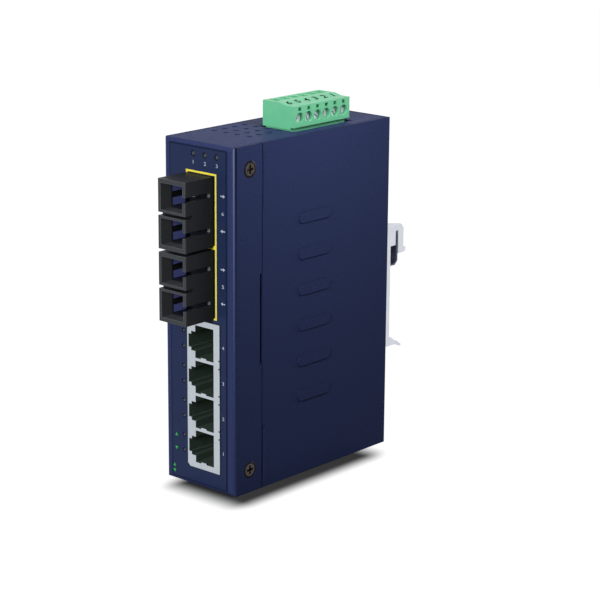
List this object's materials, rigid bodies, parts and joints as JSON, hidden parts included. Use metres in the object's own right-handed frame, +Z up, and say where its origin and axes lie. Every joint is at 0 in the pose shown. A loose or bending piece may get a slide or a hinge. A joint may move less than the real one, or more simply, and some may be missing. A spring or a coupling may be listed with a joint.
{
  "type": "industrial ethernet switch",
  "caption": "Slim upright network switch in a folded steel case for a DIN rail, with fibre and copper ports on the front and a pluggable screw terminal on top.",
  "frame": {"origin": "middle of the case's underside", "axes": "+Z up, -Y out of the ports on the front, +X to the right seen from the front"},
  "size_m": [0.0364, 0.1182, 0.1452],
  "materials": {
    "navy_paint": "satin powder coat",
    "front_film": "printed film",
    "dark_screw": "black nickel plate",
    "circuit_board": "solder mask",
    "inner_steel": "plated",
    "holder_black": "moulded",
    "lamp_clear": "unlit lens",
    "fibre_black": "moulded",
    "fibre_blue": "moulded",
    "ferrule": "ceramic",
    "pin_gold": "gold plate",
    "jack_black": "moulded",
    "jack_shield": "nickel plate",
    "terminal_green": "moulded",
    "terminal_metal": "tin plate",
    "clip_metal": "zinc plate",
    "spring_steel": "blued",
    "component_black": "moulded",
    "component_metal": "drawn can"
  },
  "bodies": {
    "case": {"front_shell": "navy_paint", "rear_cover": "navy_paint", "front_label": "front_film", "case_screws": "dark_screw", "circuit_board": "circuit_board", "board_standoffs": "inner_steel", "board_screws": "inner_steel", "led_holder": "holder_black", "power_led_1": "lamp_clear", "power_led_2": "lamp_clear", "fault_led": "lamp_clear", "port_leds": "lamp_clear", "lower_fibre_housing": "fibre_black", "upper_fibre_housing": "fibre_black", "fibre_insert_1": "fibre_blue", "fibre_insert_2": "fibre_blue", "fibre_insert_3": "fibre_blue", "fibre_insert_4": "fibre_blue", "fibre_ferrule_1": "ferrule", "fibre_ferrule_2": "ferrule", "fibre_ferrule_3": "ferrule", "fibre_ferrule_4": "ferrule", "fibre_pins": "pin_gold", "jack_contacts": "pin_gold", "jack_housing": "jack_black", "jack_shield": "jack_shield", "terminal_header": "terminal_green", "header_pins": "terminal_metal", "din_clip": "clip_metal", "clip_screws": "clip_metal", "din_spring": "spring_steel", "switch_chip": "component_black", "magnetics_1": "component_black", "magnetics_2": "component_black", "power_inductor": "component_black", "fault_relay": "component_black", "capacitor_1": "component_metal", "capacitor_2": "component_metal", "crystal": "component_metal"},
    "plug": {"terminal_plug": "terminal_green", "plug_contacts": "terminal_metal"},
    "screw_1": {"clamp_screw_1": "terminal_metal"},
    "cage_1": {"clamp_cage_1": "terminal_metal"},
    "screw_2": {"clamp_screw_2": "terminal_metal"},
    "cage_2": {"clamp_cage_2": "terminal_metal"},
    "screw_3": {"clamp_screw_3": "terminal_metal"},
    "cage_3": {"clamp_cage_3": "terminal_metal"},
    "screw_4": {"clamp_screw_4": "terminal_metal"},
    "cage_4": {"clamp_cage_4": "terminal_metal"},
    "screw_5": {"clamp_screw_5": "terminal_metal"},
    "cage_5": {"clamp_cage_5": "terminal_metal"},
    "screw_6": {"clamp_screw_6": "terminal_metal"},
    "cage_6": {"clamp_cage_6": "terminal_metal"}
  },
  "joints": [
    {"name": "plug_slide", "type": "slide", "parent": "case", "child": "plug", "axis": [0, 0, 1], "range_m": [0, 0.0125]},
    {"name": "screw_1_turn", "type": "hinge", "parent": "plug", "child": "screw_1", "pos_m": [0.008, -0.00076, 0.1396], "axis": [-1, 0, 0], "range_deg": [0, 1440]},
    {"name": "cage_1_rise", "type": "slide", "parent": "plug", "child": "cage_1", "axis": [1, 0, 0], "range_m": [0, 0.002]},
    {"name": "screw_2_turn", "type": "hinge", "parent": "plug", "child": "screw_2", "pos_m": [0.008, 0.00432, 0.1396], "axis": [-1, 0, 0], "range_deg": [0, 1440]},
    {"name": "cage_2_rise", "type": "slide", "parent": "plug", "child": "cage_2", "axis": [1, 0, 0], "range_m": [0, 0.002]},
    {"name": "screw_3_turn", "type": "hinge", "parent": "plug", "child": "screw_3", "pos_m": [0.008, 0.0094, 0.1396], "axis": [-1, 0, 0], "range_deg": [0, 1440]},
    {"name": "cage_3_rise", "type": "slide", "parent": "plug", "child": "cage_3", "axis": [1, 0, 0], "range_m": [0, 0.002]},
    {"name": "screw_4_turn", "type": "hinge", "parent": "plug", "child": "screw_4", "pos_m": [0.008, 0.01448, 0.1396], "axis": [-1, 0, 0], "range_deg": [0, 1440]},
    {"name": "cage_4_rise", "type": "slide", "parent": "plug", "child": "cage_4", "axis": [1, 0, 0], "range_m": [0, 0.002]},
    {"name": "screw_5_turn", "type": "hinge", "parent": "plug", "child": "screw_5", "pos_m": [0.008, 0.01956, 0.1396], "axis": [-1, 0, 0], "range_deg": [0, 1440]},
    {"name": "cage_5_rise", "type": "slide", "parent": "plug", "child": "cage_5", "axis": [1, 0, 0], "range_m": [0, 0.002]},
    {"name": "screw_6_turn", "type": "hinge", "parent": "plug", "child": "screw_6", "pos_m": [0.008, 0.02464, 0.1396], "axis": [-1, 0, 0], "range_deg": [0, 1440]},
    {"name": "cage_6_rise", "type": "slide", "parent": "plug", "child": "cage_6", "axis": [1, 0, 0], "range_m": [0, 0.002]}
  ],
  "couplings": [
    {"joint": "screw_1_turn", "follows": "cage_1_rise", "rad_per_m": 12566},
    {"joint": "screw_2_turn", "follows": "cage_2_rise", "rad_per_m": 12566},
    {"joint": "screw_3_turn", "follows": "cage_3_rise", "rad_per_m": 12566},
    {"joint": "screw_4_turn", "follows": "cage_4_rise", "rad_per_m": 12566},
    {"joint": "screw_5_turn", "follows": "cage_5_rise", "rad_per_m": 12566},
    {"joint": "screw_6_turn", "follows": "cage_6_rise", "rad_per_m": 12566}
  ]
}
